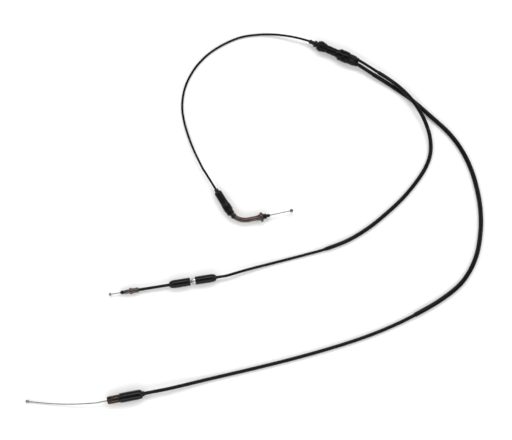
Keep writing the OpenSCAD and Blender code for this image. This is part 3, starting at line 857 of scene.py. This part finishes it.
def knurl(piece, low, high, depth):
    """Presses grooves into every other face of the wall between two stations, in millimetres."""
    bpy.ops.object.mode_set(mode="EDIT")
    bpy.ops.mesh.select_mode(type="FACE")
    bpy.ops.mesh.select_all(action="DESELECT")
    bpy.ops.object.mode_set(mode="OBJECT")
    strips = [
        face for face in piece.data.polygons
        if low < face.center.z / MM < high and abs(face.normal.z) < 0.1
        and face.normal.x * face.center.x + face.normal.y * face.center.y > 0
    ]
    for face in strips:
        turn = math.atan2(face.center.y, face.center.x) / (2 * math.pi) * KNURLS
        face.select = round(turn - 0.5) % 2 == 0
    bpy.ops.object.mode_set(mode="EDIT")
    bpy.ops.mesh.inset(thickness=0.06 * MM, depth=-depth * MM, use_individual=True)
    bpy.ops.mesh.select_mode(type="VERT")
    bpy.ops.object.mode_set(mode="OBJECT")


def hex_nut(name, start, height, radius, bore_r, axis, body, node):
    """A chamfered nut: the same lathe with six segments."""
    outline = [
        (start, bore_r), (start, radius - 0.5), (start + 0.35, radius), (start + height - 0.35, radius),
        (start + height, radius - 0.5), (start + height, bore_r), (start, bore_r),
    ]
    return fitting(name, outline, axis, zinc_plate, body, "plated_metal", node, 0.08, 6)


THREAD_BORE_R = THREAD_R + 0.05
GRIP_BARREL, GRIP_SOCKET, GRIP_BARREL_END = 12.6, 25, 28
GRIP_BARREL_R, CAP_SEAT_R = 3.95, 2.55
grip_barrel_outline = [
    (GRIP_BARREL, THREAD_BORE_R), (GRIP_BARREL, GRIP_BARREL_R - 0.4), (GRIP_BARREL + 0.5, GRIP_BARREL_R),
    (GRIP_BARREL + 1.6, GRIP_BARREL_R), (GRIP_BARREL + 1.9, 3.6), (GRIP_BARREL + 2.5, 3.6),
    (GRIP_BARREL + 2.8, GRIP_BARREL_R), (25.8, GRIP_BARREL_R), (26.1, 3.65), (27.6, 3.65),
    (GRIP_BARREL_END, 3.35), (GRIP_BARREL_END, CAP_SEAT_R), (GRIP_SOCKET, CAP_SEAT_R),
    (GRIP_SOCKET, WIRE_HOLE_R), (23, WIRE_HOLE_R), (23, THREAD_BORE_R), (GRIP_BARREL, THREAD_BORE_R),
]
grip_barrel = upright("grip_end_barrel", grip_barrel_outline, KNURLS)
knurl(grip_barrel, GRIP_BARREL + 3, 25.6, 0.16)
finish_piece(lay(grip_barrel, GRIP, 0.0), zinc_plate,
             "grip_barrel", "plated_metal", "grip_adjuster_barrel")
hex_nut("grip_end_nut", 9, 3, 4.05, THREAD_BORE_R, GRIP, "elbow", "grip_lock_nut")
print("grip end barrel and nut")

# %% [markdown]
# ## The splitter
# One cable goes in at the top and two come out below. A nylon slider runs inside the housing. The
# black caps screw over its ends, and rubber grommets with rings keep the cables from kinking. The
# lower grommet is two tubes grown together, so two turned bodies are joined by a boolean.

# %% Grommet, caps and housing
HOUSING_R, HOUSING_BORE = 5.3, 4.3
CAP_BORE = 5.34
GROOVE_R = HOUSING_R - 0.18

grommet_outline = [
    (-2, 1.75), (-2, 2.1), (-1.6, 2.5),
    *swell((-1.4, 2.5), (-0.5, 3.0), 4), *shrink((0.6, 3.0), (1.5, 2.5), 4),
    (1.9, 2.35), (2.2, 2.35), (2.5, 2.6), (3.4, 2.75), (4.4, 2.8), (4.8, 3.1),
    *swell((5.0, 3.3), (6.2, 4.5), 5), *shrink((7.6, 4.5), (8.6, 3.9), 4), (8.8, 3.6),
    (10, 3.6), (10, 2.48), (4.9, 2.48), (4.9, 1.65), (-1.8, 1.65), (-2, 1.75),
]
fitting("splitter_cable_grommet", grommet_outline, SPLITTER, rubber,
        "cable_body", "rubber", "splitter_grommet", 0.0)

upper_cap_outline = [
    (10, 3.0), (10, 4.8), *swell((10, 4.8), (11.2, 6.1), 4)[1:], (12.2, 6.4), (12.8, 7.0),
    (13.5, 7.3), (16.6, 7.3), (17.2, 7.0), (17.6, 6.75), (18.6, 6.7), (19.0, 6.3), (21.5, 6.2),
    (22, 5.9), (22, CAP_BORE), (13.1, CAP_BORE), (13.1, 2.46), (10.1, 2.46), (10, 3.0),
]
fitting("splitter_top_cap", upper_cap_outline, SPLITTER, splitter_nylon,
        "cable_body", "splitter_plastic", "splitter_upper_cap", 0.15)

housing_outline = [
    (13.1, 4.4), (13.1, HOUSING_R), (23.4, HOUSING_R), (23.8, GROOVE_R), (24.6, GROOVE_R),
    (25.0, HOUSING_R), (36.0, HOUSING_R), (36.4, GROOVE_R), (37.2, GROOVE_R), (37.6, HOUSING_R),
    (52, HOUSING_R), (52, HOUSING_BORE), (13.2, HOUSING_BORE), (13.1, 4.4),
]
fitting("splitter_tube", housing_outline, SPLITTER, splitter_nylon,
        "cable_body", "splitter_plastic", "splitter_housing", 0.06)
print("splitter grommet, cap and housing")

# %% The lower cap and its two outlets
CAP_START, CAP_END, GROMMET_END, OUTLET_END = 39, 56, 66, 69.5
SLIP = 0.06


def combine(piece, other, operation):
    """Joins another piece to this one, or cuts it away, and uses it up."""
    modifier = piece.modifiers.new("combine", "BOOLEAN")
    modifier.operation = operation
    modifier.solver = "EXACT"
    modifier.object = other
    bpy.context.view_layer.objects.active = piece
    bpy.ops.object.modifier_apply(modifier=modifier.name)
    bpy.data.objects.remove(other)
    return piece


def beside(piece, side):
    """Moves an upright piece off the axis, towards local +Y."""
    bpy.ops.object.select_all(action="DESELECT")
    piece.select_set(True)
    bpy.context.view_layer.objects.active = piece
    bpy.ops.transform.translate(value=(0, side * MM, 0))
    bpy.ops.object.transform_apply(location=True)
    return piece


def drill_outlets(piece, start, end, pump_hole, carb_hole):
    """Drills the two cable holes, one to each side of the axis."""
    for radius, side in ((pump_hole, OUTLET_GAP), (carb_hole, -OUTLET_GAP)):
        drill = beside(upright("drill", [(start, radius), (end, radius)], 32), side)
        combine(piece, drill, "DIFFERENCE")
    return piece


lower_cap_outline = [
    (CAP_START, 5.5), (CAP_START, 6.1), (CAP_START + 1.6, 6.3), (CAP_START + 2.2, 7.2),
    (CAP_START + 3, 7.9), (CAP_START + 4, 8.0), (CAP_START + 6.2, 8.0), (CAP_START + 6.7, 7.65),
    (CAP_START + 7.4, 7.65), (CAP_START + 7.9, 8.0), *shrink((CAP_END - 4.5, 8.0), (CAP_END, 6.8)),
    (CAP_END, 0.5), (52.1, 0.5), (52.1, CAP_BORE), (CAP_START + 0.1, CAP_BORE), (CAP_START, 5.5),
]
PUMP_HOLE, CARB_HOLE = PUMP_R + 0.5, CARB_R + 0.5
lower_cap = drill_outlets(upright("splitter_bottom_cap", lower_cap_outline), 51.5, 57, PUMP_HOLE, CARB_HOLE)
finish_piece(lay(lower_cap, SPLITTER, 0.0), splitter_nylon,
             "cable_body", "splitter_plastic", "splitter_lower_cap")


def outlet(name, radius, side):
    """One rounded half of the twin grommet, set to its side of the axis."""
    outline = [
        (CAP_END, radius - 0.5), (CAP_END + 0.4, radius - 0.1), (CAP_END + 1, radius),
        (CAP_END + 6, radius), *shrink((CAP_END + 6, radius), (GROMMET_END, radius - 0.9), 4)[1:],
    ]
    return beside(upright(name, outline), side)


twin = outlet("twin_outlet_grommet", 4.0, OUTLET_GAP)
combine(twin, outlet("other_half", 4.3, -OUTLET_GAP), "UNION")
drill_outlets(twin, CAP_END - 1, GROMMET_END + 1, PUMP_HOLE, CARB_HOLE)
finish_piece(lay(twin, SPLITTER, 0.0), rubber, "cable_body", "rubber", "outlet_grommet")


def outlet_band():
    """The flat ring that ties both cables together below the grommet."""
    halves = []
    for radius, side in ((PUMP_R + 1.1, OUTLET_GAP), (CARB_R + 0.9, -OUTLET_GAP)):
        ring = [(GROMMET_END, radius - 0.5), (66.5, radius), (69, radius), (OUTLET_END, radius - 0.5)]
        halves.append(beside(upright("outlet_band", ring), side))
    band = combine(*halves, "UNION")
    drill_outlets(band, GROMMET_END - 1, OUTLET_END + 0.5, PUMP_R + SLIP, CARB_R + SLIP)
    band.name = band.data.name = "outlet_band"
    return band


finish_piece(lay(outlet_band(), SPLITTER, 0.0), splitter_nylon,
             "cable_body", "splitter_plastic", "outlet_ring")
print("lower cap, twin grommet and band")

# %% [markdown]
# ## The pump end
# The inline adjuster sits between two bullet-shaped boots. Its bright barrel shows in the gap, and
# behind the second boot a short tail of cable ends in a small brown ferrule with a flange, which
# seats in the oil pump's bracket. Both boots are the same moulding, turned opposite ways.

# %% Bullet boots
INLINE_L, INLINE_R = 29, 5.6
FRONT_END, REAR_START = INLINE_L + 1, INLINE_L + 8
TAIL_R = 2.0


def bullet(name, neck):
    """Open flat end at 0, rounded nose with a tight neck at its far end."""
    nose = INLINE_L - 8.5
    outline = [
        (0, 4.75), (0, 5.1), (0.5, 5.5), (1.2, INLINE_R), (2.6, INLINE_R),
        (3.0, 5.35), (3.6, 5.35), (4.0, INLINE_R), (nose, INLINE_R),
        *shrink((nose, INLINE_R), (INLINE_L - 1, neck + 1.2), 8)[1:],
        (INLINE_L - 0.6, neck + 0.75), (INLINE_L, neck + 0.6), (INLINE_L, neck),
        (INLINE_L - 6.3, neck), (INLINE_L - 7, 4.65), (0.3, 4.65), (0, 4.75),
    ]
    return upright(name, outline)


front_place = PUMP @ Matrix.Translation((0, 0, FRONT_END * MM)) @ Matrix.Rotation(math.pi, 4, "X")
front_boot = lay(bullet("adjuster_boot_front", PUMP_R + SLIP), front_place)
finish_piece(front_boot, rubber, "front_boot", "rubber", "adjuster_front_boot")
rear_place = PUMP @ Matrix.Translation((0, 0, REAR_START * MM))
rear_boot = lay(bullet("adjuster_boot_rear", TAIL_R + SLIP), rear_place)
finish_piece(rear_boot, rubber, "rear_boot", "rubber", "adjuster_rear_boot")
print("two bullet boots")

# %% Inline barrel, screw and nut
INLINE_BARREL = 17
CAP_TO = 19.1
BARREL_NECK_R, BARREL_RIM_R = 3.9, 4.25
inline_outline = [
    (INLINE_BARREL, 2.7), (INLINE_BARREL, 3.7), (INLINE_BARREL + 0.6, BARREL_RIM_R),
    (INLINE_BARREL + 4, BARREL_RIM_R), (INLINE_BARREL + 4.3, BARREL_NECK_R),
    (INLINE_BARREL + 5.2, BARREL_NECK_R), (INLINE_BARREL + 5.5, BARREL_RIM_R), (31.2, BARREL_RIM_R),
    (31.5, 3.95), (32.3, 3.95), (32.6, BARREL_RIM_R), (33.6, BARREL_RIM_R), (34, BARREL_NECK_R),
    (34, 3.0), (21, 3.0), (21, WIRE_HOLE_R), (CAP_TO, WIRE_HOLE_R), (CAP_TO, 2.7), (INLINE_BARREL, 2.7),
]
inline_barrel = upright("inline_barrel_knurled", inline_outline, KNURLS)
knurl(inline_barrel, INLINE_BARREL + 6, 30.8, 0.14)
finish_piece(lay(inline_barrel, PUMP, 0.0), zinc_plate,
             "inline_barrel", "plated_metal", "adjuster_barrel")

SCREW_START, SCREW_END, TAIL_START = 24, 46, 46
TAIL_SEAT_R = TAIL_R + 0.05


def threads(start, end, radius, pitch, depth):
    """A threaded length, drawn as close-set grooves."""
    made = []
    count = round((end - start) / pitch)
    for i in range(count):
        z = start + i * pitch
        made += [(z, radius), (z + pitch * 0.5, radius - depth)]
    return made + [(end, radius)]


screw_outline = [
    (SCREW_START, WIRE_HOLE_R), (SCREW_START, THREAD_R - 0.4),
    *threads(SCREW_START + 0.4, 43, THREAD_R, 0.8, 0.25), (43.4, 2.7), (SCREW_END, 2.7),
    (SCREW_END, 3.1), (SCREW_END + 0.4, 3.4), (51.6, 3.4), (52, 3.1), (52, TAIL_SEAT_R), (47, TAIL_SEAT_R),
    (47, WIRE_HOLE_R), (SCREW_START, WIRE_HOLE_R),
]
finish_piece(lay(upright("adjusting_screw", screw_outline, 32), PUMP, 0.0, 25), zinc_plate,
             "pump_tail", "plated_metal", "adjuster_screw")
hex_nut("adjuster_hex_nut", FRONT_END + 4.3, 3, 4.4, THREAD_BORE_R, PUMP, "pump_tail", "adjuster_lock_nut")
print("inline barrel, screw and nut")

# %% Tail cable, ferrule and seal
TAIL_L = 70
FERRULE_START, FLANGE, SPIGOT_END = 107, 116.5, 127
SPIGOT_R, FLANGE_R, FLANGE_T = 2.7, 4.4, 3
tail_path = [on_axis(PUMP, TAIL_START + 1 + i) for i in range(TAIL_L + 1)]
tail = sweep("tail_cable", tail_path, TAIL_R, COVER_T)
finish_piece(tail, cover_plastic, "pump_tail", "casing_plastic", "tail_conduit")

pump_ferrule_outline = [
    (FERRULE_START, TAIL_SEAT_R), (FERRULE_START, 2.6), (FERRULE_START + 0.9, 3.3),
    (FERRULE_START + 1.5, 3.4), (111.4, 3.4), (111.7, 3.2), (112.3, 3.2), (112.6, 3.4),
    (FLANGE - 0.3, 3.4), (FLANGE, 3.6), (FLANGE, 4.1), (FLANGE + 0.4, FLANGE_R),
    (FLANGE + FLANGE_T - 0.2, FLANGE_R), (FLANGE + FLANGE_T, 4.2), (FLANGE + FLANGE_T, SPIGOT_R),
    (SPIGOT_END - 0.6, SPIGOT_R), (SPIGOT_END, 2.2), (SPIGOT_END, WIRE_HOLE_R),
    (FLANGE + 1, WIRE_HOLE_R), (FLANGE + 1, TAIL_SEAT_R), (FERRULE_START, TAIL_SEAT_R),
]
fitting("pump_end_ferrule", pump_ferrule_outline, PUMP, brown_plate,
        "pump_tail", "yellow_metal", "pump_ferrule", 0.05)

pump_seal_outline = [
    (SPIGOT_END, WIRE_HOLE_R), (SPIGOT_END, 1.8), (127.6, 1.85),
    *swell((127.8, 1.95), (129.4, 2.6), 4)[1:], (130.1, 2.6),
    *shrink((130.3, 2.5), (132.2, 1.15), 5)[1:], (133, 0.95), (133, 0.72), (130, 0.72),
    (SPIGOT_END, WIRE_HOLE_R),
]
fitting("pump_end_seal", pump_seal_outline, PUMP, rubber, "pump_tail", "rubber", "pump_seal", 0.0, 32)
print("tail cable, ferrule and seal")

# %% [markdown]
# ## Bare wires and nipples
# The wires are stranded steel, soldered into nipples. The grip's nipple is a short barrel that lies
# across the wire, dished at both ends. The pump's is a small dome and the carburettor's a pellet.

# %% Straight wires
WIRE_R, CARB_WIRE_R, WIRE_SIDES = 0.6, 0.75, 14


def straight_wire(name, axis, start, end, body, node):
    """A straight wire along an axis, between two stations."""
    count = max(2, round((end - start) / 2))
    path = [on_axis(axis, start + (end - start) * i / count) for i in range(count + 1)]
    piece = sweep(name, path, WIRE_R, 0, WIRE_SIDES)
    return finish_piece(piece, strand, body, "steel_wire", node)


GRIP_NIPPLE, PUMP_NIPPLE = 40.6, 145
straight_wire("grip_end_wire", NECK, -1, GRIP_NIPPLE + 1.2, "grip_pull", "grip_wire")
straight_wire("pump_end_wire", PUMP, 26, PUMP_NIPPLE + 0.5, "pump_pull", "pump_wire")
print("two straight wires")

# %% Nipples
barrel_nipple_outline = [
    (-2.5, 1.5), (-2.5, 2.0), (-2.1, 2.4), (2.1, 2.4), (2.5, 2.0), (2.5, 1.5),
    (1.5, 1.1), (1.5, 0.05), (-1.5, 0.05), (-1.5, 1.1), (-2.5, 1.5),
]
across = NECK @ Matrix.Translation((0, 0, (GRIP_NIPPLE + 2.4) * MM)) @ Matrix.Rotation(math.pi / 2, 4, "Y")
fitting("grip_end_nipple", barrel_nipple_outline, across, cast_zinc,
        "grip_pull", "nipple_metal", "grip_nipple", 0.08, 40)

pump_nipple_outline = [(0, 1.6), (0.4, 2.1), (1.3, 2.1), *shrink((1.3, 2.1), (3.2, 0.6), 6)[1:]]
dome = PUMP @ Matrix.Translation((0, 0, PUMP_NIPPLE * MM))
fitting("pump_end_nipple", pump_nipple_outline, dome, cast_zinc,
        "pump_pull", "nipple_metal", "pump_nipple", 0.06, 40)

pellet_outline = [(0, 1.0), (0.25, 1.5), (0.7, 1.8), (3.7, 1.8), (4.3, 1.5), (4.6, 0.9)]
wire_end = carb_wire_path[-1]
heading = math.radians(174.3)
pellet_along = Vector((math.cos(heading), math.sin(heading), 0))
pellet_side = Vector((0, 0, 1)).cross(pellet_along)
pellet_turn = Matrix(((0, 0, -1), pellet_side, pellet_along)).transposed().to_4x4()
pellet_place = Matrix.Translation(wire_end) @ pellet_turn
pellet = fitting("carburettor_end_nipple", pellet_outline, pellet_place, cast_zinc,
                 "carb_pull", "nipple_metal", "carb_nipple", 0.08, 40)
print("three nipples")

# %% [markdown]
# ## The carburettor end
# The boot is cut square where the ferrule leaves it, and its other end is a round shoulder that
# thins on to the cable. The ferrule is a plain brown plug with a chamfered nose, its darker colour partly painted
# shade.

# %% Boot, ferrule and long wire
CARB_BOOT_L, CARB_BOOT_R, CARB_FERRULE_R, CARB_FERRULE_END = 34, 6.7, 5.4, 51
carb_boot_outline = [
    (0, CARB_R + 0.1), (0, CARB_R + 0.6), (0.5, 3.3), (1.6, 3.5), (2.6, 3.6),
    *swell((2.9, 3.8), (8, 6.6), 8), (9, CARB_BOOT_R), (13, CARB_BOOT_R),
    (CARB_BOOT_L - 1.2, 6.65), (CARB_BOOT_L - 0.4, 6.5), (CARB_BOOT_L, 6.2), (CARB_BOOT_L, 4.5),
    (8.6, 4.5), (8, CARB_R + 0.1), (0, CARB_R + 0.1),
]
fitting("carburettor_boot", carb_boot_outline, CARB, rubber, "carb_boot_body", "rubber", "carb_boot")

carb_ferrule_outline = [
    (16, 3.16), (16, 3.8), (16.5, 4.2), (34.3, 4.2), (34.3, 5.0), (34.7, CARB_FERRULE_R),
    (CARB_FERRULE_END - 1.4, CARB_FERRULE_R), (CARB_FERRULE_END - 0.5, 4.9), (CARB_FERRULE_END, 4.3),
    (CARB_FERRULE_END, 2.0), (CARB_FERRULE_END - 0.8, 1.25), (31.1, 1.25), (31.1, 3.16), (16, 3.16),
]
# Its darker plating is partly painted shade.
fitting("carburettor_end_ferrule", carb_ferrule_outline, CARB, dark_plate,
        "cable_body", "yellow_metal", "carb_ferrule", 0.06)

long_wire = sweep("carburettor_end_wire", carb_wire_path, CARB_WIRE_R, 0, WIRE_SIDES)
finish_piece(long_wire, strand, "carb_pull", "steel_wire", "carb_wire")
print("boot, ferrule and long wire")

# %% [markdown]
# ## Free cables
# Every free cable's route length and diameter are printed.

def declare(piece, path, diameter):
    """Prints a cable's name, the length of its own route and its diameter."""
    length = round(run_lengths(path)[-1], 3)
    print(piece.name, "is", length, "m of", round(diameter / MM, 2), "mm")


declare(upper_cover, upper_path, 2 * UPPER_R * MM)
declare(pump_cover, pump_path, 2 * PUMP_R * MM)
declare(carb_cover, carb_path, 2 * CARB_R * MM)
declare(long_wire, carb_wire_path, 2 * CARB_WIRE_R * MM)

# %% [markdown]
# ## Inside
# What the boots and covers hide stays as the CAD made it, with a worked steel or nylon finish.

# %% Finish the inner CAD pieces
STEEL_INSIDE = [
    "upper_coil", "pump_coil", "carb_coil", "tail_coil",
    "upper_inner_wire", "pump_inner_wire", "carb_inner_wire", "elbow_wire", "slider_wires",
    "grip_conduit_cap", "splitter_conduit_cap", "pump_outlet_cap", "carb_outlet_cap",
    "adjuster_conduit_cap", "carb_conduit_cap",
]
INNER = {node: inner_steel for node in STEEL_INSIDE} | {"splitter_slider": slider_nylon}
for node, material in INNER.items():
    mesh = frame["nodes"][node].data
    mesh.materials.clear()
    mesh.materials.append(material)
print("finished", len(INNER), "inner pieces")
